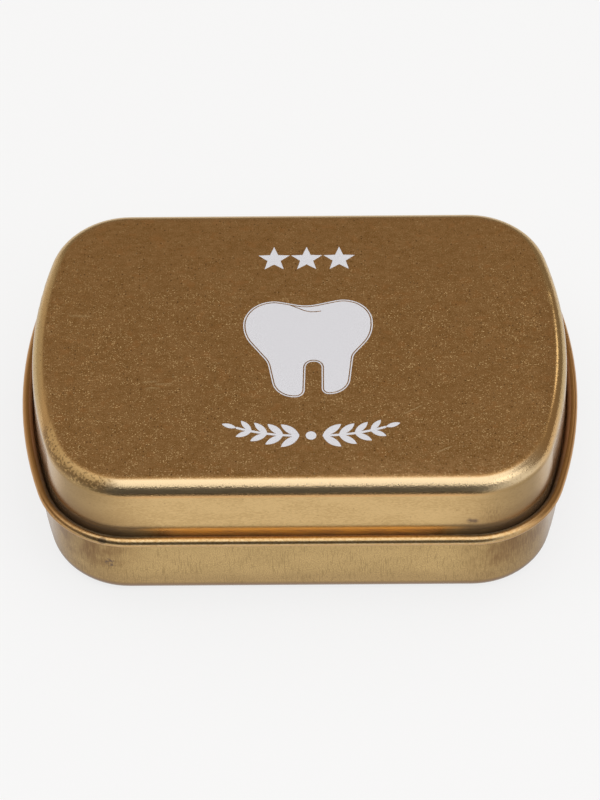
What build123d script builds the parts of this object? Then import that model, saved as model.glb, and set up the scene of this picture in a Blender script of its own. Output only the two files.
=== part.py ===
from build123d import *
import math
import os

# Small hinged tin for milk teeth. Millimetres, X to the right, Y to the hinge, Z up.
# The origin is the middle of the underside.

# Driving sizes of the tin
rim_length = 80.0
rim_depth = 56.0
rim_height = 13.9
closed_height = 24.2
sheet = 0.3
end_radius = 62.5

# Base shell
seat_corner_radius = 12.0
bead_radius = 0.75
floor_edge_radius = 2.3
jog_depth = 0.7
jog_angle = 60.0

# Lid shell
lid_corner_radius = 11.7
lid_edge_radius = 2.3
hem_radius = 0.45
side_clearance = 0.3
front_clearance = 0.12
back_clearance = 1.05
rest_clearance = 0.15

# Hinge
wire_radius = 0.4
wire_length = 40.0
wire_chamfer = 0.1
tab_width = 8.0
tab_spacing = 24.0
tab_bend_radius = 0.3
hinge_clearance = 0.3
curl_gap = 0.05

# Print on the lid
ink = 0.05
tooth_width = 18.5
tooth_height = 18.1
tooth_shift_x = 1.25
tooth_shift_y = -0.6
tooth_line = 0.16
tooth_line_gap = 0.17
crease_width = 0.16
star_radius = 2.35
star_points = 5
star_waist_share = 0.42
star_pitch = 4.7
star_count = 3
star_shift_x = 1.1
star_edge_gap = 9.65
sprig_length = 25.4
sprig_rise = 1.5
sprig_line = 0.36
sprig_shift_x = 1.6
sprig_edge_gap = 9.25
sprig_dot_radius = 0.75
leaf_length = 3.3
leaf_width = 1.15
leaf_count = 5
leaf_angle = 38.0
leaf_taper_share = 0.35
stem_start_share = 0.13

# The tooth's corners as shares of its width and height from its middle, each with the
# share of the width that rounds it
tooth_corner_shares = [
    (-0.014, 0.434, 0.324),
    (-0.501, 0.552, 0.238),
    (-0.501, 0.133, 0.324),
    (-0.313, -0.141, 0.189),
    (-0.251, -0.50, 0.173),
    (-0.03, -0.50, 0.073),
    (-0.019, -0.137, 0.058),
    (0.103, -0.137, 0.058),
    (0.103, -0.47, 0.057),
    (0.308, -0.47, 0.162),
    (0.349, -0.072, 0.108),
    (0.501, 0.134, 0.324),
    (0.501, 0.57, 0.227),
]
crease_shares = [(-0.15, 0.455), (0.008, 0.373), (0.103, 0.385)]
crease_bend_share = 0.16

# Worked out from the sizes above
seat_half_length = rim_length / 2 - 2 * bead_radius
seat_half_depth = rim_depth / 2 - 2 * bead_radius
lid_half_length = seat_half_length - side_clearance
lid_half_depth = seat_half_depth - (front_clearance + back_clearance) / 2
lid_shift = (front_clearance - back_clearance) / 2
bead_height = rim_height - bead_radius
hinge_y = seat_half_depth + bead_radius
jog_radius = jog_depth / 2 / (1 - math.cos(math.radians(jog_angle)))
jog_rise = 2 * jog_radius * math.sin(math.radians(jog_angle))
wall_clear = bead_radius + hinge_clearance
notch_drop = math.sqrt(wall_clear**2 - (bead_radius - sheet) ** 2)
shoulder_height = bead_height - notch_drop
jog_start = shoulder_height - jog_rise
floor_inner_radius = floor_edge_radius - sheet

# The hem rests just above the slope of the shoulder, along the front
hem_inset = front_clearance + hem_radius
hem_reach = jog_radius + hem_radius + rest_clearance
hem_height = jog_start + math.sqrt(hem_reach**2 - (hem_inset + jog_depth - jog_radius) ** 2)


def rounded_plan(half_length, half_depth, corner_radius):
    """Straight long sides, bowed ends and round corners, all tangent."""
    end_x = half_length - end_radius
    corner_y = half_depth - corner_radius
    reach = end_radius - corner_radius
    corner_x = end_x + math.sqrt(reach**2 - corner_y**2)
    end_angle = math.degrees(math.atan2(corner_y, corner_x - end_x))
    return {
        "end_x": end_x,
        "corner_x": corner_x,
        "corner_y": corner_y,
        "corner_radius": corner_radius,
        "half_depth": half_depth,
        "end_angle": end_angle,
    }


def plan_face(plan, inset):
    """The flat panel inside a plan, the inset further in."""
    x = plan["corner_x"]
    y = plan["corner_y"]
    side_y = plan["half_depth"] - inset
    turn = plan["end_angle"]
    small = plan["corner_radius"] - inset
    large = end_radius - inset
    edges = [
        Line((-x, -side_y), (x, -side_y)),
        CenterArc((x, -y), small, -90, 90 - turn),
        CenterArc((plan["end_x"], 0), large, -turn, 2 * turn),
        CenterArc((x, y), small, turn, 90 - turn),
        Line((x, side_y), (-x, side_y)),
        CenterArc((-x, y), small, 90, 90 - turn),
        CenterArc((-plan["end_x"], 0), large, 180 - turn, 2 * turn),
        CenterArc((-x, -y), small, 180 + turn, 90 - turn),
    ]
    return make_face(edges)


def turned(point, heading, side, distance):
    """The point a distance to one side of the heading, +1 left and -1 right."""
    angle = math.radians(heading + side * 90)
    return (point[0] + distance * math.cos(angle), point[1] + distance * math.sin(angle))


def strip_edges(start, heading, moves, offset):
    """The edges of a path, shifted to its right by the offset."""
    edges = []
    point = start
    for kind, size, angle in moves:
        begin = turned(point, heading, -1, offset)
        if kind == "line":
            run = math.radians(heading)
            point = (point[0] + size * math.cos(run), point[1] + size * math.sin(run))
            edges.append(Line(begin, turned(point, heading, -1, offset)))
        else:
            side = 1 if kind == "left" else -1
            centre = turned(point, heading, side, size)
            radius = size + side * offset
            edges.append(CenterArc(centre, radius, heading - side * 90, side * angle))
            heading = heading + side * angle
            point = turned(centre, heading, -side, size)
    return edges


def sheet_strip(start, heading, moves):
    """A section of sheet: one face follows the moves, the other lies to their right."""
    near = strip_edges(start, heading, moves, 0)
    far = strip_edges(start, heading, moves, sheet)
    caps = [Line(near[0] @ 0, far[0] @ 0), Line(near[-1] @ 1, far[-1] @ 1)]
    return make_face(near + far + caps)


def curl_turn(radius):
    """How far a curl turns before its raw edge comes back to the sheet."""
    return math.degrees(math.acos(1 - (sheet + curl_gap) / radius))


def base_section(beaded):
    """From the floor out: rounded edge, wall, shoulder, seat and the rolled bead."""
    moves = [
        ("left", floor_inner_radius, 90),
        ("line", jog_start - floor_edge_radius, 0),
        ("right", jog_radius, jog_angle),
        ("left", jog_radius, jog_angle),
    ]
    if beaded:
        moves.append(("line", bead_height - shoulder_height, 0))
        moves.append(("right", bead_radius, 360 - curl_turn(bead_radius)))
    return sheet_strip((-jog_depth - floor_inner_radius, sheet), 0, moves)


def lid_section(tabbed):
    """From the top panel out: rounded edge, skirt, and a curled hem or a hinge tab."""
    moves = [("right", lid_edge_radius, 90)]
    edge_bottom = closed_height - lid_edge_radius
    if tabbed:
        tab_reach = hinge_y - (lid_half_depth + lid_shift) - tab_bend_radius
        slot_turn = math.degrees(math.asin(1 - (sheet + curl_gap) / bead_radius))
        moves.append(("line", edge_bottom - rim_height - tab_bend_radius, 0))
        moves.append(("left", tab_bend_radius, 90))
        moves.append(("line", tab_reach, 0))
        moves.append(("right", bead_radius, 270 + slot_turn))
    else:
        moves.append(("line", edge_bottom - hem_height, 0))
        moves.append(("right", hem_radius, 360 - curl_turn(hem_radius)))
    return sheet_strip((-lid_edge_radius, closed_height), 0, moves)


def straight_run(section, half_depth, x_low, x_high, back):
    """A section drawn along a long side between two places in X."""
    side = 1 if back else -1
    start = Plane(
        origin=(x_low if back else x_high, side * half_depth, 0),
        x_dir=(0, side, 0),
        z_dir=(side, 0, 0),
    )
    return extrude(start * section, amount=x_high - x_low)


def bent_run(section, centre, radius, start_angle, turn):
    """A section turned about an upright axis."""
    angle = math.radians(start_angle)
    across = (math.cos(angle), math.sin(angle), 0)
    start = Plane(origin=(*centre, 0), x_dir=across, z_dir=(math.sin(angle), -math.cos(angle), 0))
    return revolve(start * (Pos(radius, 0) * section), Axis((*centre, 0), (0, 0, 1)), turn)


def wall_ring(plan, section, back_runs):
    """All the wall of a shell. Each back run is (low x, high x, section)."""
    x = plan["corner_x"]
    y = plan["corner_y"]
    turn = plan["end_angle"]
    corner = plan["corner_radius"]
    runs = [
        straight_run(section, plan["half_depth"], -x, x, False),
        bent_run(section, (x, -y), corner, -90, 90 - turn),
        bent_run(section, (plan["end_x"], 0), end_radius, -turn, 2 * turn),
        bent_run(section, (x, y), corner, turn, 90 - turn),
        bent_run(section, (-x, y), corner, 90, 90 - turn),
        bent_run(section, (-plan["end_x"], 0), end_radius, 180 - turn, 2 * turn),
        bent_run(section, (-x, -y), corner, 180 + turn, 90 - turn),
    ]
    for x_low, x_high, run_section in back_runs:
        runs.append(straight_run(run_section, plan["half_depth"], x_low, x_high, True))
    return runs


def back_split(plan, width, plain, special):
    """The back side in runs, with the special section at the two tab places."""
    edges = [-plan["corner_x"]]
    for middle in (-tab_spacing / 2, tab_spacing / 2):
        edges.append(middle - width / 2)
        edges.append(middle + width / 2)
    edges.append(plan["corner_x"])
    sections = [plain, special, plain, special, plain]
    return list(zip(edges[:-1], edges[1:], sections))


def one_solid(first, others):
    """Fused pieces as a single solid."""
    return first.fuse(*others).clean().solid()


def make_base():
    plan = rounded_plan(seat_half_length, seat_half_depth, seat_corner_radius)
    beaded = base_section(True)
    notched = base_section(False)
    notch_width = tab_width + 2 * hinge_clearance
    runs = wall_ring(plan, beaded, back_split(plan, notch_width, beaded, notched))
    floor = extrude(plan_face(plan, jog_depth + floor_inner_radius), amount=sheet)
    return one_solid(floor, runs)


def make_lid():
    plan = rounded_plan(lid_half_length, lid_half_depth, lid_corner_radius)
    hemmed = lid_section(False)
    runs = wall_ring(plan, hemmed, back_split(plan, tab_width, hemmed, lid_section(True)))
    panel = Pos(0, 0, closed_height - sheet) * extrude(plan_face(plan, lid_edge_radius), amount=sheet)
    return Pos(0, lid_shift, 0) * one_solid(panel, runs)


def make_wire():
    wire = Pos(0, hinge_y, bead_height) * Rot(0, 90, 0) * Cylinder(wire_radius, wire_length)
    return chamfer(wire.edges().filter_by(GeomType.CIRCLE), wire_chamfer).solid()


def printed(sketch, x, y):
    """A layer of ink on the lid's top panel, with its middle at x, y of the lid."""
    return Pos(x, y + lid_shift, closed_height) * extrude(sketch, amount=ink)


def tooth_faces():
    """The ink of the tooth and, outside a bare line, the fine line round it."""
    corners = [(u * tooth_width, v * tooth_height) for u, v, bend in tooth_corner_shares]
    bends = [bend * tooth_width for u, v, bend in tooth_corner_shares]
    outline = make_face(FilletPolyline(*corners, radius=bends, close=True))
    line_inside = offset(outline, amount=-tooth_line)
    body = offset(outline, amount=-tooth_line - tooth_line_gap)
    crease_points = [(u * tooth_width, v * tooth_height) for u, v in crease_shares]
    crease = FilletPolyline(*crease_points, radius=crease_bend_share * tooth_width)
    return body - trace(crease, line_width=crease_width), outline - line_inside


def star_face():
    corners = []
    for step in range(2 * star_points):
        radius = star_radius * (star_waist_share if step % 2 else 1)
        angle = math.radians(90 + 180 / star_points * step)
        corners.append((radius * math.cos(angle), radius * math.sin(angle)))
    return make_face(Polyline(*corners, close=True))


def leaf_face(share):
    """A pointed leaf with its foot at the origin, along X."""
    length = leaf_length * share
    belly = leaf_width * share / 2
    upper = ThreePointArc((0, 0), (length / 2, belly), (length, 0))
    lower = ThreePointArc((length, 0), (length / 2, -belly), (0, 0))
    return make_face([upper, lower])


def sprig_faces():
    """Two leafy stems that rise from a dot in the middle."""
    stem_start = sprig_length / 2 * stem_start_share
    stem_reach = sprig_length / 2 - leaf_length * (1 - leaf_taper_share)
    stem = TangentArc((stem_start, 0), (stem_reach, sprig_rise), tangent=(1, 0))
    half = trace(stem, line_width=sprig_line)
    for step in range(leaf_count):
        place = step / (leaf_count - 1)
        foot = stem @ place
        heading = (stem % place).get_angle(Vector(1, 0, 0))
        share = 1 - leaf_taper_share * place
        sides = (0,) if step == leaf_count - 1 else (-1, 1)
        for side in sides:
            turn = heading + side * leaf_angle
            half += Pos(foot.X, foot.Y) * Rot(0, 0, turn) * leaf_face(share)
    return half + mirror(half, about=Plane.YZ) + Circle(sprig_dot_radius)


def make_prints():
    tooth_ink, tooth_edge = tooth_faces()
    stars = []
    for step in range(star_count):
        x = star_shift_x + (step - (star_count - 1) / 2) * star_pitch
        stars.append(printed(star_face(), x, lid_half_depth - star_edge_gap))
    return {
        "tooth_print": printed(tooth_ink, tooth_shift_x, tooth_shift_y),
        "tooth_outline_print": printed(tooth_edge, tooth_shift_x, tooth_shift_y),
        "star_prints": Compound(children=stars),
        "leaf_print": printed(sprig_faces(), sprig_shift_x, sprig_edge_gap - lid_half_depth),
    }


def main():
    os.makedirs("parts", exist_ok=True)
    shapes = {
        "base_shell": make_base(),
        "lid_shell": make_lid(),
        "hinge_wire": make_wire(),
    }
    shapes.update(make_prints())
    for name, shape in shapes.items():
        export_step(shape, f"parts/{name}.step")


main()
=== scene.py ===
import bpy
import math
from mathutils import Matrix, Vector

# Baby tooth box: a small hinged tin of gold lacquered tinplate. Metres.

# Camera, at the photograph's angle
VIEW_AIM = Vector((-0.00003, 0.00544, 0.00484))
VIEW_DISTANCE = 0.8
VIEW_ELEVATION = 50.36
VIEW_YAW = 0.348
VIEW_ROLL = -0.663
SENSOR = 36.0
LENS = 246.47
CLIP_START = 0.01
CLIP_END = 20.0

# Studio. A lamp is its name, azimuth from the front towards the right, angle from overhead,
# half its width and half its height as angles, its brightness, and whether metal shows it.
LAMP_DISTANCE = 0.6
LAMPS = [
    ("key", 21, 15.5, 26, 25, 1.2, True),
    ("right_box", 48, 50, 20, 12, 1.1, True),
    ("low_right_box", 50, 78, 20, 16, 0.8, True),
    ("left_box", 272, 36, 15, 14, 0.7, True),
    ("back_left_box", 233, 72, 17, 18, 0.33, True),
    ("back_right_strip", 133.5, 57.5, 4.5, 5.5, 1.5, True),
    ("fill", 0, 0, 50, 50, 0.63, False),
]
SKY_BACK = (0.29, 0.245, 0.205, 1)
SKY_FRONT = (0.11, 0.1, 0.09, 1)
SKY_FADE_FRONT = -0.9
SKY_FADE_BACK = 0.3
FLOOR_SIZE = 8.0
FLOOR_COLOUR = (0.93, 0.93, 0.93, 1)
FLOOR_GLOW = 0.85

# Black cards that only the metal shows: one stands in front, clear towards the right, and one lies
# before the tin, clear but for a painted shadow of the floor at each front corner
CARD_FRONT = -0.06
CARD_HALF_WIDTH = 0.07
CARD_HEIGHT = 0.05
CARD_LIFT = 0.0003
CARD_SHADE = (0.065, 0.062, 0.058, 1)
STANDING_CARD = [("x", 0.024, 0.06, 1, 0)]
LYING_CARD = [("side", 0.019, 0.050), ("y", -0.012, -0.022)]
LYING_CARD_SHADOW_DENSITY = 0.32

# Sockets of a Mix node that mixes colours, whose names its other sockets share
MIX_FIRST = 6
MIX_SECOND = 7
MIX_RESULT = 2

# How much of a speck and of a stroke is at full strength, as shares of their sizes
SPECK_CORE_SHARE = 0.3
STROKE_LENGTH_SHARE = 0.6
STROKE_WIDTH_SHARE = 0.2

# The strength of the faintest speck, where that of the strongest is 1
FAINTEST_SPECK = 0.5

# A wall's distance from the tin's middle, below zero where the wall faces the middle. It begins to
# count as inward at the first value and does so fully at the second.
INWARD_FADE = (-0.006, -0.012)

# Lacquer, a thin clear coat on both shells
LACQUER = 0.13
LACQUER_ROUGHNESS = 0.2

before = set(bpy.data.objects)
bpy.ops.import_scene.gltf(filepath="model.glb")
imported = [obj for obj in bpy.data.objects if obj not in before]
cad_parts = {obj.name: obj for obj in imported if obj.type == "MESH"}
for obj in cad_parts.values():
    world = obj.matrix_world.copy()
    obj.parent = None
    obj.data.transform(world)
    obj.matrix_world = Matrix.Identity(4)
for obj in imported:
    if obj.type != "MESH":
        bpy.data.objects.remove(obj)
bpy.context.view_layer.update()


class Finish:
    """A procedural material whose nodes are added by short calls.

    A noise is its cell size along each axis in metres, its detail, and where it is shifted, its shift.
    A layer is a noise, the range of it that counts, and what that range becomes, or else 0 to 1.
    Specks are their cell size, the dots' size in a cell, the share of cells that hold one, and where
    they have them, a shift and True for dots that lie flat on a top.
    A region is a list of fades: a measure of the surface, two values of it, and what those become.
    """

    def __init__(self, name):
        self.material = bpy.data.materials.new(name)
        self.material.use_nodes = True
        self.nodes = self.material.node_tree.nodes
        self.links = self.material.node_tree.links
        self.shader = self.nodes["Principled BSDF"]
        coords = self.nodes.new("ShaderNodeTexCoord")
        self.place = coords.outputs["Object"]
        self.normal = coords.outputs["Normal"]

    def feed(self, socket, value):
        """Links another node's output to a socket, or sets the socket's own value."""
        if isinstance(value, bpy.types.NodeSocket):
            self.links.new(value, socket)
        else:
            socket.default_value = value

    def surface(self, inputs):
        """Feeds the named sockets of the material's shader."""
        for name, value in inputs.items():
            self.feed(self.shader.inputs[name], value)

    def math(self, operation, first, second=0.0):
        node = self.nodes.new("ShaderNodeMath")
        node.operation = operation
        self.feed(node.inputs[0], first)
        self.feed(node.inputs[1], second)
        return node.outputs[0]

    def both(self, *masks):
        product = masks[0]
        for mask in masks[1:]:
            product = self.math("MULTIPLY", product, mask)
        return product

    def total(self, *values):
        result = values[0]
        for value in values[1:]:
            result = self.math("ADD", result, value)
        return result

    def most(self, *masks):
        largest = masks[0]
        for mask in masks[1:]:
            largest = self.math("MAXIMUM", largest, mask)
        return largest

    def rest(self, mask):
        """What a mask leaves."""
        return self.math("SUBTRACT", 1.0, mask)

    def ramp(self, value, low, high, start=0.0, end=1.0):
        """Goes smoothly from start to end as the value goes from low to high."""
        node = self.nodes.new("ShaderNodeMapRange")
        node.interpolation_type = "SMOOTHSTEP"
        entries = {"Value": value, "From Min": low, "From Max": high, "To Min": start, "To Max": end}
        for name, entry in entries.items():
            self.feed(node.inputs[name], entry)
        return node.outputs["Result"]

    def mix(self, factor, first, second):
        """Goes from the first colour to the second as the factor goes from 0 to 1."""
        node = self.nodes.new("ShaderNodeMix")
        node.data_type = "RGBA"
        self.feed(node.inputs["Factor"], factor)
        self.feed(node.inputs[MIX_FIRST], first)
        self.feed(node.inputs[MIX_SECOND], second)
        return node.outputs[MIX_RESULT]

    def axis(self, vector, name):
        node = self.nodes.new("ShaderNodeSeparateXYZ")
        self.links.new(vector, node.inputs["Vector"])
        return node.outputs[name]

    def measure(self, name):
        """x, y, height, side, which is the distance from the middle, or up, which is 1 on a top."""
        if name == "side":
            return self.math("ABSOLUTE", self.measure("x"))
        if name == "up":
            return self.axis(self.normal, "Z")
        return self.axis(self.place, {"x": "X", "y": "Y", "height": "Z"}[name])

    def region(self, fades):
        """The product of the fades, such as 1 on one part of the tin and 0 off it."""
        return self.both(*(self.ramp(self.measure(name), *fade) for name, *fade in fades))

    def near(self, point, reach):
        """1 at a point, falling to 0 at the reach."""
        node = self.nodes.new("ShaderNodeVectorMath")
        node.operation = "DISTANCE"
        self.links.new(self.place, node.inputs[0])
        node.inputs[1].default_value = point
        return self.ramp(node.outputs["Value"], reach, 0.0)

    def inward(self):
        """1 where a surface faces the middle of the tin."""
        across = self.both(self.measure("x"), self.axis(self.normal, "X"))
        along = self.both(self.measure("y"), self.axis(self.normal, "Y"))
        return self.ramp(self.total(across, along), *INWARD_FADE)

    def spread(self, cell, shift):
        """The place, divided by a cell size along each axis."""
        node = self.nodes.new("ShaderNodeMapping")
        self.links.new(self.place, node.inputs["Vector"])
        node.inputs["Location"].default_value = (shift, shift, shift)
        node.inputs["Scale"].default_value = tuple(1 / size for size in cell)
        return node.outputs["Vector"]

    def noise(self, cell, detail, shift=0.0):
        """Soft noise about 0.5."""
        node = self.nodes.new("ShaderNodeTexNoise")
        self.links.new(self.spread(cell, shift), node.inputs["Vector"])
        node.inputs["Scale"].default_value = 1.0
        node.inputs["Detail"].default_value = detail
        return node.outputs["Fac"]

    def layer(self, noise, counted, becomes=(0.0, 1.0)):
        return self.ramp(self.noise(*noise), *counted, *becomes)

    def tone(self, layers):
        """The sum of the layers."""
        return self.total(*(self.layer(*layer) for layer in layers))

    def specks(self, cell, size, share, shift=0.0, flat=False):
        """Separate dots, spread in all three directions, or in x and y alone if flat."""
        node = self.nodes.new("ShaderNodeTexVoronoi")
        node.voronoi_dimensions = "2D" if flat else "3D"
        self.links.new(self.spread(cell, shift), node.inputs["Vector"])
        node.inputs["Scale"].default_value = 1.0
        split = self.nodes.new("ShaderNodeSeparateColor")
        self.links.new(node.outputs["Color"], split.inputs["Color"])
        dot = self.ramp(node.outputs["Distance"], size, size * SPECK_CORE_SHARE)
        chosen = self.math("LESS_THAN", split.outputs["Red"], share)
        return self.both(dot, chosen, self.ramp(split.outputs["Green"], 0, 1, FAINTEST_SPECK, 1))

    def stroke(self, start, end, width):
        """A thin mark on the top panel from start to end."""
        along = Vector(end) - Vector(start)
        middle = (Vector(end) + Vector(start)) / 2
        node = self.nodes.new("ShaderNodeMapping")
        node.vector_type = "TEXTURE"
        self.links.new(self.place, node.inputs["Vector"])
        node.inputs["Location"].default_value = (*middle, PANEL_HEIGHT)
        node.inputs["Rotation"].default_value = (0, 0, math.atan2(along.y, along.x))
        node.inputs["Scale"].default_value = (along.length / 2, width, 1)
        length = self.math("ABSOLUTE", self.axis(node.outputs["Vector"], "X"))
        breadth = self.math("ABSOLUTE", self.axis(node.outputs["Vector"], "Y"))
        length = self.ramp(length, 1, STROKE_LENGTH_SHARE)
        return self.both(length, self.ramp(breadth, 1, STROKE_WIDTH_SHARE))

    def lacquer(self):
        self.surface({"Coat Weight": LACQUER, "Coat Roughness": LACQUER_ROUGHNESS})

    def bump(self, height, depth):
        node = self.nodes.new("ShaderNodeBump")
        node.inputs["Distance"].default_value = depth
        self.links.new(height, node.inputs["Height"])
        return node.outputs["Normal"]

    def glow(self, colour):
        node = self.nodes.new("ShaderNodeEmission")
        node.inputs["Color"].default_value = colour
        return node.outputs["Emission"]

    def show(self, factor, first, second):
        """Shows the first shader where the factor is 0 and the second where it is 1."""
        mix = self.nodes.new("ShaderNodeMixShader")
        self.links.new(factor, mix.inputs["Fac"])
        self.links.new(first, mix.inputs[1])
        self.links.new(second, mix.inputs[2])
        self.links.new(mix.outputs["Shader"], self.nodes["Material Output"].inputs["Surface"])


def direction(azimuth, zenith):
    """Azimuth 0 is the front and 90 the right, and zenith 0 is straight up."""
    turn = math.radians(azimuth)
    tilt = math.radians(zenith)
    return Vector((math.sin(tilt) * math.sin(turn), -math.sin(tilt) * math.cos(turn), math.cos(tilt)))


def add_camera():
    data = bpy.data.cameras.new("camera")
    data.sensor_width = SENSOR
    data.lens = LENS
    data.clip_start = CLIP_START
    data.clip_end = CLIP_END
    camera = bpy.data.objects.new("camera", data)
    turn = (
        Matrix.Rotation(math.radians(VIEW_YAW), 4, "Z")
        @ Matrix.Rotation(math.radians(90 - VIEW_ELEVATION), 4, "X")
        @ Matrix.Rotation(math.radians(VIEW_ROLL), 4, "Z")
    )
    back = turn.to_3x3() @ Vector((0, 0, 1))
    camera.matrix_world = Matrix.Translation(VIEW_AIM + back * VIEW_DISTANCE) @ turn
    bpy.context.scene.collection.objects.link(camera)
    bpy.context.scene.camera = camera


def add_sheet(name, corners, material):
    mesh = bpy.data.meshes.new(name)
    mesh.from_pydata(corners, [], [tuple(range(len(corners)))])
    mesh.materials.append(material)
    sheet = bpy.data.objects.new(name, mesh)
    bpy.context.scene.collection.objects.link(sheet)
    return sheet


def floor_material():
    """Keeps shadows, and glows a little for the camera and in the metal."""
    finish = Finish("floor")
    finish.surface({"Base Color": FLOOR_COLOUR, "Roughness": 1.0, "Specular IOR Level": 0.0})
    path = finish.nodes.new("ShaderNodeLightPath")
    seen = finish.most(
        path.outputs["Is Camera Ray"], path.outputs["Is Glossy Ray"], path.outputs["Is Transmission Ray"]
    )
    glow = finish.glow(FLOOR_COLOUR)
    finish.show(finish.both(seen, FLOOR_GLOW), finish.shader.outputs["BSDF"], glow)
    return finish.material


def add_floor():
    half = FLOOR_SIZE / 2
    corners = [(-half, -half, 0), (half, -half, 0), (half, half, 0), (-half, half, 0)]
    add_sheet("floor", corners, floor_material())


def dark_card_material():
    """Near black. The standing card clears towards the right, and the lying one is a soft painted shadow
    of the floor.
    """
    finish = Finish("dark_card")
    standing = finish.math("GREATER_THAN", finish.measure("height"), 2 * CARD_LIFT)
    standing = finish.both(standing, finish.region(STANDING_CARD))
    # The lying card is a painted shadow of the floor round the front corners
    lying = finish.both(finish.region(LYING_CARD), LYING_CARD_SHADOW_DENSITY)
    clear = finish.nodes.new("ShaderNodeBsdfTransparent").outputs["BSDF"]
    finish.show(finish.most(standing, lying), clear, finish.glow(CARD_SHADE))
    return finish.material


def add_dark_cards():
    """Only the metal shows them: the dark line along its edges, and its darker corners, where the lying
    card is a painted shadow of the floor.
    """
    half = CARD_HALF_WIDTH
    front = CARD_FRONT
    top = CARD_HEIGHT
    lift = CARD_LIFT
    cards = {
        "front_card": [(-half, front, 0), (half, front, 0), (half, front, top), (-half, front, top)],
        "corner_shadow_card": [(-half, front, lift), (half, front, lift), (half, 0, lift), (-half, 0, lift)],
    }
    material = dark_card_material()
    for name, corners in cards.items():
        card = add_sheet(name, corners, material)
        card.visible_camera = False
        card.visible_diffuse = False
        card.visible_shadow = False


def add_lamp(name, azimuth, zenith, half_width, half_height, radiance, glossy):
    width = 2 * LAMP_DISTANCE * math.tan(math.radians(half_width))
    height = 2 * LAMP_DISTANCE * math.tan(math.radians(half_height))
    data = bpy.data.lights.new(name, "AREA")
    data.shape = "RECTANGLE"
    data.size = width
    data.size_y = height
    data.energy = radiance * math.pi * width * height
    lamp = bpy.data.objects.new(name, data)
    away = direction(azimuth, zenith)
    lamp.location = away * LAMP_DISTANCE
    lamp.rotation_mode = "QUATERNION"
    lamp.rotation_quaternion = away.to_track_quat("Z", "Y")
    lamp.visible_glossy = glossy
    lamp.visible_camera = False
    bpy.context.scene.collection.objects.link(lamp)


def add_world():
    """A dim studio round the tin, darker in front than behind."""
    world = bpy.data.worlds.new("studio")
    world.use_nodes = True
    nodes = world.node_tree.nodes
    links = world.node_tree.links
    coords = nodes.new("ShaderNodeTexCoord")
    split = nodes.new("ShaderNodeSeparateXYZ")
    links.new(coords.outputs["Generated"], split.inputs["Vector"])
    fade = nodes.new("ShaderNodeMapRange")
    fade.interpolation_type = "SMOOTHSTEP"
    fade.inputs["From Min"].default_value = SKY_FADE_FRONT
    fade.inputs["From Max"].default_value = SKY_FADE_BACK
    links.new(split.outputs["Y"], fade.inputs["Value"])
    mix = nodes.new("ShaderNodeMix")
    mix.data_type = "RGBA"
    links.new(fade.outputs["Result"], mix.inputs["Factor"])
    mix.inputs[MIX_FIRST].default_value = SKY_FRONT
    mix.inputs[MIX_SECOND].default_value = SKY_BACK
    links.new(mix.outputs[MIX_RESULT], nodes["Background"].inputs["Color"])
    bpy.context.scene.world = world


# Brown colours that more than one surface has. The tarnish also serves as painted shade, and the darkest
# is the painted shade of the gap between lid and base.
TARNISH_AND_SHADE = (0.26, 0.14, 0.05, 1)
SMUDGE = (0.12, 0.075, 0.06, 1)
GAP_SHADE = (0.06, 0.037, 0.025, 1)

# The lid's panel. A scratch is its two ends, its width and its strength.
PANEL_HEIGHT = 0.0242
PANEL = [("up", 0.93, 0.99), ("height", 0.0236, 0.024)]
PANEL_DARK = (0.44, 0.232, 0.064, 1)
PANEL_PALE = (0.75, 0.455, 0.195, 1)
PANEL_ORANGE = (0.72, 0.36, 0.12, 1)
PANEL_SPECK = (0.28, 0.15, 0.055, 1)
PANEL_SPARK = (1.0, 0.76, 0.4, 1)
PANEL_ROUGHNESS = 0.3
SPARK_ROUGHNESS = 0.6
PANEL_GRAIN = ((0.00017, 0.00014, 0.0002), 1.0)
PANEL_MOTTLE = ((0.0009, 0.0006, 0.0009), 2.0, 7.7)
PANEL_PATCHES = ((0.006, 0.003, 0.004), 2.0, 3.1)
PANEL_STREAKS = ((0.0025, 0.0003, 0.004), 1.0, 1.7)
PANEL_TONE = [
    (PANEL_GRAIN, (0.22, 0.78), (0.1, 0.88)),
    (PANEL_MOTTLE, (0.25, 0.75), (-0.16, 0.16)),
    (PANEL_PATCHES, (0.3, 0.7), (-0.05, 0.05)),
    (PANEL_STREAKS, (0.35, 0.75), (-0.04, 0.06)),
]
ORANGE_CLOUDS = (((0.0016, 0.0014, 0.002), 2.0, 6.2), (0.55, 0.72), (0.0, 0.35))
PANEL_DOTS = ((0.0005, 0.0006, 1.0), 0.32, 0.11, 4.0, True)
FRONT_PALE_PATCH = [("y", -0.0205, -0.0245), ("x", -0.002, 0.012)]
FRONT_PALE_MOTTLE = (PANEL_MOTTLE, (0.2, 0.7))
FRONT_PALE_TONE = 0.5
PANEL_SCRATCHES = [
    ((0.01453, -0.01339), (0.01752, -0.01158), 0.00015, 1.0),
    ((0.01919, -0.02034), (0.02161, -0.01909), 0.00016, 1.0),
    ((-0.0226, -0.0072), (-0.0200, -0.0070), 0.0003, 0.55),
    ((-0.0207, -0.0076), (-0.0179, -0.0074), 0.0003, 0.6),
    ((-0.0222, -0.0083), (-0.0196, -0.0082), 0.0003, 0.45),
    ((-0.0335, 0.0054), (-0.0293, 0.0052), 0.0003, 0.55),
]
PANEL_SCRATCH_GRAIN = (PANEL_GRAIN, (0.35, 0.6), (0.3, 1.0))
SPARK_DOTS = ((0.0004, 0.00046, 1.0), 0.27, 0.26, 0.0, True)
SPARK_DASHES = (((0.00024, 0.00015, 0.0002), 1.0, 3.7), (0.62, 0.71))
SPARK_CLUMPS = (((0.0014, 0.0011, 0.001), 2.0, 9.4), (0.38, 0.6), (0.35, 1.0))
SPARK_FRONT_RIGHT = [("x", 0.004, 0.02, 0.0, 0.6), ("y", -0.006, -0.016)]
SPARK_FADE = [("y", 0.004, 0.02, 1.0, 0.5)]


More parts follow.
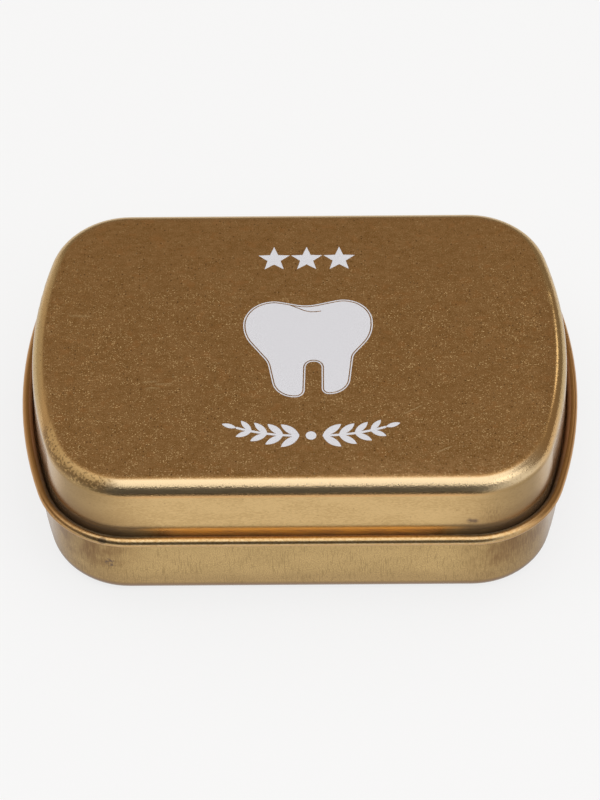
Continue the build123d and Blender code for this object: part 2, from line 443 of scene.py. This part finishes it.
def panel_sparkle(finish):
    """Dots and short dashes in clumps, fainter at the back, with fewer gaps at the right front."""
    sparks = finish.most(finish.specks(*SPARK_DOTS), finish.layer(*SPARK_DASHES))
    clumps = finish.most(finish.layer(*SPARK_CLUMPS), finish.region(SPARK_FRONT_RIGHT))
    return finish.both(sparks, clumps, finish.region(SPARK_FADE))


def panel_gold(finish, sparkle):
    """Mottled brown gold with orange clouds, dark dots, a paler right front, scratches, sparkle."""
    pale_patch = finish.both(finish.region(FRONT_PALE_PATCH), finish.layer(*FRONT_PALE_MOTTLE), FRONT_PALE_TONE)
    colour = finish.mix(finish.total(finish.tone(PANEL_TONE), pale_patch), PANEL_DARK, PANEL_PALE)
    colour = finish.mix(finish.layer(*ORANGE_CLOUDS), colour, PANEL_ORANGE)
    colour = finish.mix(finish.specks(*PANEL_DOTS), colour, PANEL_SPECK)
    broken = finish.layer(*PANEL_SCRATCH_GRAIN)
    for start, end, width, strength in PANEL_SCRATCHES:
        mark = finish.both(finish.stroke(start, end, width), broken, strength)
        colour = finish.mix(mark, colour, PANEL_SPARK)
    return finish.mix(sparkle, colour, PANEL_SPARK)


# The insides of both shells
INSIDE_PALE = (0.86, 0.68, 0.42, 1)
INSIDE_DEEP = (0.74, 0.55, 0.29, 1)
INSIDE_ROUGHNESS = 0.42
INSIDE_TONE = [
    (((0.012, 0.0004, 0.0004), 2.0, 1.1), (0.3, 0.7), (0.0, 0.5)),
    (((0.005, 0.005, 0.005), 3.0, 8.1), (0.3, 0.7), (0.0, 0.5)),
]
INSIDE_STAINS = ((0.0016, 0.0016, 0.0016), 0.25, 0.06)
INSIDE_STAIN_STRENGTH = 0.5


def inside_gold(finish):
    """Paler, duller lacquer with faint rolling lines, cloudy patches and a few stains."""
    colour = finish.mix(finish.tone(INSIDE_TONE), INSIDE_PALE, INSIDE_DEEP)
    stains = finish.both(finish.specks(*INSIDE_STAINS), INSIDE_STAIN_STRENGTH)
    return finish.mix(stains, colour, TARNISH_AND_SHADE)


# The lid's rounded edge, with the panel inside it, and its worn left front corner
ROUNDING = [("up", 0.1, 0.5), ("height", 0.0195, 0.021)]
EDGE_GOLD = (0.66, 0.40, 0.155, 1)
EDGE_PALE = (0.77, 0.59, 0.35, 1)
EDGE_SIDE_SHADE = (0.555, 0.385, 0.165, 1)
EDGE_WORN = (0.82, 0.56, 0.24, 1)
EDGE_LINE = (0.74, 0.42, 0.17, 1)
EDGE_SPECK = (0.28, 0.155, 0.06, 1)
EDGE_ROUGHNESS = 0.26
SPECK_ROUGHNESS = 0.56
LOW_EDGE_ROUGHNESS = 0.32
RIGHT_EDGE_ROUGHNESS = 0.17
EDGE_FRONT = [("y", -0.018, -0.024)]
EDGE_OUTER = [("side", 0.036, 0.0376)]
EDGE_BACK = [("y", -0.002, 0.016, 0.0, 0.8)]
EDGE_RIGHT = [("x", 0.0335, 0.0355)]
EDGE_LOW = [("up", 0.75, 0.55)]
EDGE_FOOT_LINE = [("up", 0.02, 0.08), ("up", 0.4, 0.25), ("height", 0.0205, 0.021), ("side", 0.03, 0.02)]
EDGE_LINE_STRENGTH = 0.75
EDGE_SPECKS = ((0.0003, 0.0003, 0.0003), 0.5, 0.3)
EDGE_SPECK_STRENGTH = 0.35
SPECKED_SIDES = [("side", 0.024, 0.030)]
SPECKED_SLOPE = [("up", 0.88, 0.72)]
WORN_CORNER = (-0.0319, -0.0205, 0.0235)
WORN_REACH = 0.0103
WORN_COLOUR_FADE = (0.1, 0.5, 0.0, 0.9)
WORN_FLECK_FADE = (0.05, 0.35)
WORN_ROUGHNESS_FADE = (0.05, 0.4)
FLECK_NOISE = ((0.00038, 0.00038, 0.00038), 3.0, 9.1)
FLECK_FADE = (0.53, 0.64)
FLECK_STRENGTH = 0.7
FLECKED_SLOPE = [("up", 0.85, 0.6), ("up", 0.1, 0.3)]
MORE_FLECKS = 0.16


def edge_specks(finish):
    """Fine specks, all over the edge at the tin's ends and on its lower slope between them."""
    specked = finish.most(finish.region(SPECKED_SIDES), finish.region(SPECKED_SLOPE))
    return finish.both(finish.specks(*EDGE_SPECKS), specked)


def edge_gold(finish, specks):
    """Rubbed pale along the front, with painted shade darkening the sides and back, and flecked at the
    worn corner.
    """
    colour = finish.mix(finish.region(EDGE_FRONT), EDGE_GOLD, EDGE_PALE)
    # Painted shade: the edge's sides and back darker, where its reflection is darker
    darker = finish.most(finish.region(EDGE_OUTER), finish.region(EDGE_BACK))
    colour = finish.mix(darker, colour, EDGE_SIDE_SHADE)
    worn = finish.near(WORN_CORNER, WORN_REACH)
    colour = finish.mix(finish.ramp(worn, *WORN_COLOUR_FADE), colour, EDGE_WORN)
    more = finish.both(finish.region(FLECKED_SLOPE), MORE_FLECKS)
    flecks = finish.ramp(finish.total(finish.noise(*FLECK_NOISE), more), *FLECK_FADE)
    flecks = finish.both(finish.ramp(worn, *WORN_FLECK_FADE), flecks, FLECK_STRENGTH)
    return finish.mix(finish.most(finish.both(specks, EDGE_SPECK_STRENGTH), flecks), colour, EDGE_SPECK)


# The lid's skirt
SKIRT_PALE = (0.67, 0.455, 0.2, 1)
SKIRT_DEEP = (0.58, 0.385, 0.16, 1)
SKIRT_ROUGHNESS = 0.2
SKIRT_TONE = [
    (((0.00042, 0.00042, 0.0002), 2.0, 5.3), (0.25, 0.75), (-0.4, 1.0)),
    (((0.006, 0.006, 0.0025), 2.0, 2.9), (0.3, 0.7), (-0.35, 0.45)),
]
SKIRT_DOTS = ((0.0005, 0.0005, 0.0005), 0.4, 0.05)
SKIRT_DOT_STRENGTH = 0.5
# Painted shade: the skirt browner towards the sides, and more so low down, where its reflection is darker
SKIRT_SHADED_SIDES = [("side", 0.018, 0.033)]
SKIRT_SIDE_SHADE = 0.42
SKIRT_SHADED_LOW_SIDES = [("side", 0.018, 0.033), ("height", 0.0195, 0.0150)]
SKIRT_LOW_SIDE_SHADE = 0.75
SKIRT_SCUFF = (0.0272, -0.0255, 0.0175)
SKIRT_SCUFF_REACH = 0.003
SKIRT_SCUFF_LINES = (((0.0002, 0.0002, 0.0008), 1.0), (0.5, 0.62))
SKIRT_SCUFF_STRENGTH = 0.5
SKIRT_SMUDGES = [(0.0239, -0.0264, 0.0164), (0.0246, -0.0263, 0.0163)]
SKIRT_SMUDGE_REACH = 0.0008
SKIRT_SMUDGE_GRAIN = (((0.0009, 0.0009, 0.00025), 1.0, 3.3), (0.3, 0.5), (0.3, 1.0))
SKIRT_SMUDGE_STRENGTH = 0.9
SKIRT_UNEVEN = (((0.0025, 0.0025, 0.0006), 2.0, 4.9), (0.3, 0.6), (0.7, 1.0))
# Painted shade of the gap between the lid's skirt and the base's rim, low at the front corners
SHADED_GAP_CORNERS = [
    ("side", 0.016, 0.026),
    ("y", -0.004, -0.014),
    ("height", 0.0160, 0.0149),
    ("height", 0.0112, 0.0142, 0.1, 1.0),
]
GAP_SHADE_STRENGTH = 0.85
# A painted orange reflection of the base's rim low on the skirt's front, duller than the metal
PAINTED_REFLECTION_ORANGE = (0.78, 0.375, 0.07, 1)
PAINTED_REFLECTION_FRONT = [
    ("side", 0.024, 0.015),
    ("height", 0.0155, 0.0149),
    ("height", 0.0124, 0.0142, 0.1, 1.0),
    ("y", -0.02, -0.025),
]
PAINTED_REFLECTION_DULLNESS = 0.6


def skirt_gold(finish, gap_shade):
    """Smooth satin gold with painted shade browning it towards the sides, a scuff, smudges, and the gap's
    painted shade low at the corners.
    """
    colour = finish.mix(finish.tone(SKIRT_TONE), SKIRT_PALE, SKIRT_DEEP)
    colour = finish.mix(finish.both(finish.specks(*SKIRT_DOTS), SKIRT_DOT_STRENGTH), colour, TARNISH_AND_SHADE)
    # Painted shade towards the sides
    colour = finish.mix(finish.both(finish.region(SKIRT_SHADED_SIDES), SKIRT_SIDE_SHADE), colour, TARNISH_AND_SHADE)
    scuff = finish.near(SKIRT_SCUFF, SKIRT_SCUFF_REACH)
    scuff = finish.both(scuff, finish.layer(*SKIRT_SCUFF_LINES), SKIRT_SCUFF_STRENGTH)
    colour = finish.mix(scuff, colour, TARNISH_AND_SHADE)
    patchy = finish.layer(*SKIRT_SMUDGE_GRAIN)
    for point in SKIRT_SMUDGES:
        spot = finish.both(finish.near(point, SKIRT_SMUDGE_REACH), patchy, SKIRT_SMUDGE_STRENGTH)
        colour = finish.mix(spot, colour, SMUDGE)
    # Painted shade low at the sides
    low = finish.both(finish.region(SKIRT_SHADED_LOW_SIDES), SKIRT_LOW_SIDE_SHADE)
    colour = finish.mix(low, colour, TARNISH_AND_SHADE)
    # The darkest brown is the painted shade of the gap
    return finish.mix(gap_shade, colour, GAP_SHADE)


# The lid as a whole. The depths of the pits multiply the bump's.
LID_UNDERSIDE = [("up", -0.3, -0.7)]
LID_BUMP = 0.000006
LID_PITS = ((0.0003, 0.0003, 0.0003), 1.0)
RIM_PIT_DEPTH = 2.0
RAGGED_SLOPE = [("up", 0.82, 0.62)]
RAGGED_PITS = ((0.00022, 0.00022, 0.00022), 1.0, 2.7)
RAGGED_DEPTH = 9.0


def lid_bump(finish, rim):
    """Fine pits, deeper on the rounded edge and deepest on its lower slope."""
    pits = finish.both(finish.noise(*LID_PITS), finish.ramp(rim, 0, 1, 1.0, RIM_PIT_DEPTH))
    ragged = finish.both(rim, finish.region(RAGGED_SLOPE), finish.noise(*RAGGED_PITS), RAGGED_DEPTH)
    return finish.bump(finish.total(pits, ragged), LID_BUMP)


def lid_gold():
    """Sparkling panel, worn rounded edge, smooth skirt with a painted orange reflection low in front, dull
    inside.
    """
    finish = Finish("lid_gold")
    panel = finish.region(PANEL)
    rounding = finish.region(ROUNDING)
    rim = finish.both(rounding, finish.rest(panel))
    inside = finish.most(finish.region(LID_UNDERSIDE), finish.inward())
    sparkle = panel_sparkle(finish)
    specks = edge_specks(finish)
    line = finish.both(finish.region(EDGE_FOOT_LINE), EDGE_LINE_STRENGTH)
    uneven = finish.layer(*SKIRT_UNEVEN)
    gap_shade = finish.both(finish.region(SHADED_GAP_CORNERS), uneven, GAP_SHADE_STRENGTH)
    # glow is the painted orange reflection low on the skirt's front
    glow = finish.both(finish.region(PAINTED_REFLECTION_FRONT), uneven)
    colour = finish.mix(rounding, skirt_gold(finish, gap_shade), edge_gold(finish, specks))
    colour = finish.mix(glow, colour, PAINTED_REFLECTION_ORANGE)
    colour = finish.mix(line, colour, EDGE_LINE)
    colour = finish.mix(panel, colour, panel_gold(finish, sparkle))
    colour = finish.mix(inside, colour, inside_gold(finish))
    worn = finish.both(rim, finish.ramp(finish.near(WORN_CORNER, WORN_REACH), *WORN_ROUGHNESS_FADE))
    low_edge = finish.both(rim, finish.region(EDGE_LOW))
    right_edge = finish.both(rounding, finish.region(EDGE_RIGHT))
    roughness = finish.total(
        SKIRT_ROUGHNESS,
        finish.both(rounding, EDGE_ROUGHNESS - SKIRT_ROUGHNESS),
        finish.both(rounding, specks, SPECK_ROUGHNESS - EDGE_ROUGHNESS),
        finish.both(right_edge, RIGHT_EDGE_ROUGHNESS - EDGE_ROUGHNESS),
        finish.both(worn, SPECK_ROUGHNESS - EDGE_ROUGHNESS),
        finish.both(low_edge, LOW_EDGE_ROUGHNESS - EDGE_ROUGHNESS),
        finish.both(panel, PANEL_ROUGHNESS - EDGE_ROUGHNESS),
        finish.both(sparkle, panel, SPARK_ROUGHNESS - PANEL_ROUGHNESS),
        finish.both(inside, INSIDE_ROUGHNESS - SKIRT_ROUGHNESS),
    )
    # The metal is duller under the gap's painted shade and the painted reflection
    metallic = finish.rest(finish.most(gap_shade, finish.both(glow, PAINTED_REFLECTION_DULLNESS)))
    normal = lid_bump(finish, rim)
    finish.surface({"Base Color": colour, "Roughness": roughness, "Metallic": metallic, "Normal": normal})
    finish.lacquer()
    return finish.material


# The base's wall
WALL_DARK = (0.40, 0.265, 0.105, 1)
WALL_PALE = (0.63, 0.43, 0.182, 1)
WALL_FOOT_SHADE_AND_SPECKS = (0.22, 0.125, 0.06, 1)
WALL_ROUGHNESS = 0.27
WALL_TONE = [
    (((0.00015, 0.00015, 0.00026), 2.0), (0.25, 0.75), (0.1, 0.95)),
    (((0.007, 0.007, 0.003), 2.0, 2.9), (0.3, 0.7), (-0.1, 0.1)),
]
WALL_SCRATCHES = ((0.00016, 0.00016, 0.0016), 1.0, 4.4)
WALL_SCRATCH_LINES = (WALL_SCRATCHES, (0.56, 0.64))
WALL_SCRATCHED_PATCHES = (((0.004, 0.004, 0.003), 1.0, 8.8), (0.35, 0.6), (0.2, 1.0))
WALL_SCRATCHED_RIGHT = [("x", 0.016, 0.024)]
WALL_SCRATCH_TONE = -0.55
# Mottled tarnish at the corners, and painted shade there and at the ends, where the wall's reflection is
# darker
WALL_SHADED_CORNERS = [("side", 0.021, 0.028), ("height", 0.003, 0.008, 0.3, 1.0)]
WALL_CORNER_PATCHES = (((0.0035, 0.0035, 0.003), 2.0, 1.2), (0.3, 0.6), (0.4, 1.0))
WALL_CORNER_STREAKS = (WALL_SCRATCHES, (0.35, 0.6), (0.7, 1.0))
WALL_SHADED_ENDS = [("side", 0.031, 0.037, 0.0, 0.75)]
WALL_SMUDGE = (-0.02705, -0.0258, 0.00662)
WALL_SMUDGE_REACH = 0.0014
WALL_SMUDGE_FADE = (0.1, 0.5)
WALL_SMUDGE_GRAIN = (((0.0004, 0.0004, 0.0004), 1.0, 2.2), (0.45, 0.6))
WALL_SMUDGE_STRENGTH = 0.7
WALL_SPECKS = ((0.0006, 0.0006, 0.0006), 0.4, 0.3)
MORE_SPECKS_LOW = [("height", 0.008, 0.0008, 0.15, 1.0)]
# Painted shade along the foot, where the tin meets the floor
FOOT_EDGE_SHADE = [("height", 0.0029, 0.0017)]
FOOT_STRENGTH = 0.9
FOOT_SHADE = [("height", 0.0055, 0.003, 0.0, 0.25)]
OFF_THE_UNDERSIDE = [("up", -0.97, -0.8, 0.15, 1.0)]


def wall_foot_shade_and_specks(finish):
    """A dark painted shade at the foot under a fainter painted shade, and specks that fade upwards."""
    specks = finish.both(finish.specks(*WALL_SPECKS), finish.region(MORE_SPECKS_LOW))
    foot = finish.both(finish.most(finish.region(FOOT_EDGE_SHADE), specks), FOOT_STRENGTH)
    return finish.both(finish.most(foot, finish.region(FOOT_SHADE)), finish.region(OFF_THE_UNDERSIDE))


def wall_gold(finish):
    """Drawn gold with fine grain and upright scratches, brown at the corners with mottled tarnish and
    painted shade, and darker at the foot with specks and painted shade.
    """
    scratched = finish.most(finish.layer(*WALL_SCRATCHED_PATCHES), finish.region(WALL_SCRATCHED_RIGHT))
    scratches = finish.both(finish.layer(*WALL_SCRATCH_LINES), scratched, WALL_SCRATCH_TONE)
    colour = finish.mix(finish.total(finish.tone(WALL_TONE), scratches), WALL_DARK, WALL_PALE)
    # Mottled tarnish and painted shade at the corners, painted shade at the ends
    corners = finish.both(
        finish.region(WALL_SHADED_CORNERS), finish.layer(*WALL_CORNER_PATCHES), finish.layer(*WALL_CORNER_STREAKS)
    )
    colour = finish.mix(finish.most(corners, finish.region(WALL_SHADED_ENDS)), colour, TARNISH_AND_SHADE)
    smudge = finish.ramp(finish.near(WALL_SMUDGE, WALL_SMUDGE_REACH), *WALL_SMUDGE_FADE)
    smudge = finish.both(smudge, finish.layer(*WALL_SMUDGE_GRAIN), WALL_SMUDGE_STRENGTH)
    colour = finish.mix(smudge, colour, SMUDGE)
    return finish.mix(wall_foot_shade_and_specks(finish), colour, WALL_FOOT_SHADE_AND_SPECKS)


# The base's rolled bead
BEAD_PALE = (0.8, 0.585, 0.31, 1)
BEAD_DEEP = (0.64, 0.41, 0.175, 1)
# Painted reflection at the bead's ends and painted shade on its underside
BEAD_END_REFLECTION = (0.5, 0.26, 0.085, 1)
BEAD_UNDER_SHADE = (0.56, 0.32, 0.11, 1)
BEAD_ROUGHNESS = 0.31
BEAD = [("height", 0.0118, 0.0126)]
BEAD_GRAIN = (((0.0004, 0.0004, 0.0002), 2.0, 6.6), (0.3, 0.7))
BEAD_UNDERSIDE = [("up", 0.25, -0.2, 0.0, 0.85)]
BEAD_SIDES = [("side", 0.026, 0.038)]
BEAD_DOTS = ((0.0004, 0.0004, 0.0004), 0.45, 0.2)
BEAD_DOT_STRENGTH = 0.5
BEAD_KINK = (-0.028, -0.0275, 0.0137)
BEAD_KINK_REACH = 0.0011
BEAD_KINK_FADE = (0.2, 0.6, 0.0, 0.6)


def bead_gold(finish):
    """Pale on top in front, orange brown painted shade below and a painted orange brown reflection at the
    ends, dotted, with a dark kink at the left.
    """
    colour = finish.mix(finish.layer(*BEAD_GRAIN), BEAD_DEEP, BEAD_PALE)
    # Painted shade below, then a painted reflection at the ends
    colour = finish.mix(finish.region(BEAD_UNDERSIDE), colour, BEAD_UNDER_SHADE)
    colour = finish.mix(finish.region(BEAD_SIDES), colour, BEAD_END_REFLECTION)
    colour = finish.mix(finish.both(finish.specks(*BEAD_DOTS), BEAD_DOT_STRENGTH), colour, TARNISH_AND_SHADE)
    kink = finish.ramp(finish.near(BEAD_KINK, BEAD_KINK_REACH), *BEAD_KINK_FADE)
    return finish.mix(kink, colour, SMUDGE)


# The base's seat, which the lid closes into: the gap's painted shade in front, a painted orange reflection
# low in its middle, reddish brown painted shade elsewhere
SEAT_SHADE_BROWN = (0.34, 0.145, 0.06, 1)
SEAT_PAINTED_REFLECTION = (1.0, 0.58, 0.16, 1)
SEAT = [("height", 0.0108, 0.0112), ("y", 0.024, 0.014)]
SEAT_RUBS = (((0.0007, 0.0007, 0.004), 2.0, 5.8), (0.3, 0.65), (1.0, 0.75))
SEAT_FRONT = [("y", -0.008, -0.02)]
SEAT_MIDDLE = [("side", 0.024, 0.014)]
SEAT_TOP = [("height", 0.0122, 0.0132)]
SEAT_STRENGTH = 0.9
SEAT_ROUGHNESS = 0.6
SEAT_DULLNESS = 0.9
SEAT_MIDDLE_DULLNESS = 0.5

# The base as a whole
BASE_FLOOR = [("up", 0.2, 0.6), ("height", 0.006, 0.004)]
BELOW_SEAT = [("height", 0.0112, 0.0108)]
BASE_BUMP = 0.000008
BASE_PITS = ((0.00025, 0.00025, 0.0004), 2.0)


def seat_shade_and_reflection(finish, front, middle):
    """The gap's painted shade in front and reddish brown painted shade elsewhere, and a painted orange
    reflection below the brown in the middle of the front.
    """
    colour = finish.mix(front, SEAT_SHADE_BROWN, GAP_SHADE)
    # glow is the painted orange reflection, below the reddish brown painted shade
    glow = finish.mix(finish.region(SEAT_TOP), SEAT_PAINTED_REFLECTION, SEAT_SHADE_BROWN)
    return finish.mix(middle, colour, glow)


def base_gold():
    """Drawn wall and rolled bead, a dull inside, and a seat that the lid closes into, painted with the
    gap's shade and reflection.
    """
    finish = Finish("base_gold")
    bead = finish.region(BEAD)
    inward = finish.inward()
    seat = finish.both(inward, finish.region(SEAT), finish.layer(*SEAT_RUBS))
    front = finish.region(SEAT_FRONT)
    middle = finish.both(finish.region(SEAT_MIDDLE), front)
    inside = finish.both(finish.most(inward, finish.region(BASE_FLOOR)), finish.region(BELOW_SEAT))
    colour = finish.mix(bead, wall_gold(finish), bead_gold(finish))
    colour = finish.mix(inside, colour, inside_gold(finish))
    painted_seat = finish.both(seat, SEAT_STRENGTH)
    colour = finish.mix(painted_seat, colour, seat_shade_and_reflection(finish, front, middle))
    dullness = finish.ramp(middle, 0, 1, SEAT_DULLNESS, SEAT_MIDDLE_DULLNESS)
    metallic = finish.rest(finish.both(seat, dullness))
    roughness = finish.total(
        finish.ramp(bead, 0, 1, WALL_ROUGHNESS, BEAD_ROUGHNESS),
        finish.both(seat, SEAT_ROUGHNESS - BEAD_ROUGHNESS),
        finish.both(inside, INSIDE_ROUGHNESS - WALL_ROUGHNESS),
    )
    normal = finish.bump(finish.noise(*BASE_PITS), BASE_BUMP)
    finish.surface({"Base Color": colour, "Roughness": roughness, "Metallic": metallic, "Normal": normal})
    finish.lacquer()
    return finish.material


# The hinge wire and the print
WIRE_DARK = (0.5, 0.5, 0.52, 1)
WIRE_PALE = (0.72, 0.72, 0.74, 1)
WIRE_LINES = ((0.006, 0.00008, 0.00008), 1.0)
WIRE_ROUGHNESS_FADE = (0.3, 0.7, 0.2, 0.35)
INK_DARK = (0.63, 0.64, 0.685, 1)
INK_PALE = (0.67, 0.68, 0.725, 1)
INK_GRAIN = ((0.0003, 0.0003, 0.0003), 2.0)
INK_ROUGHNESS = 0.45


def wire_steel():
    """Bright drawn wire with fine lines along it."""
    finish = Finish("wire_steel")
    lines = finish.noise(*WIRE_LINES)
    colour = finish.mix(lines, WIRE_DARK, WIRE_PALE)
    roughness = finish.ramp(lines, *WIRE_ROUGHNESS_FADE)
    finish.surface({"Base Color": colour, "Roughness": roughness, "Metallic": 1.0})
    return finish.material


def ink():
    """Matt pale ink with a trace of grain."""
    finish = Finish("print_ink")
    colour = finish.mix(finish.noise(*INK_GRAIN), INK_DARK, INK_PALE)
    finish.surface({"Base Color": colour, "Roughness": INK_ROUGHNESS})
    return finish.material


bpy.context.scene.view_settings.view_transform = "Standard"
add_camera()
add_floor()
add_dark_cards()
add_world()
for lamp in LAMPS:
    add_lamp(*lamp)
materials = {"base_shell": base_gold(), "lid_shell": lid_gold(), "hinge_wire": wire_steel()}
print_ink = ink()
for name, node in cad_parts.items():
    node.data.materials.clear()
    node.data.materials.append(materials.get(name, print_ink))
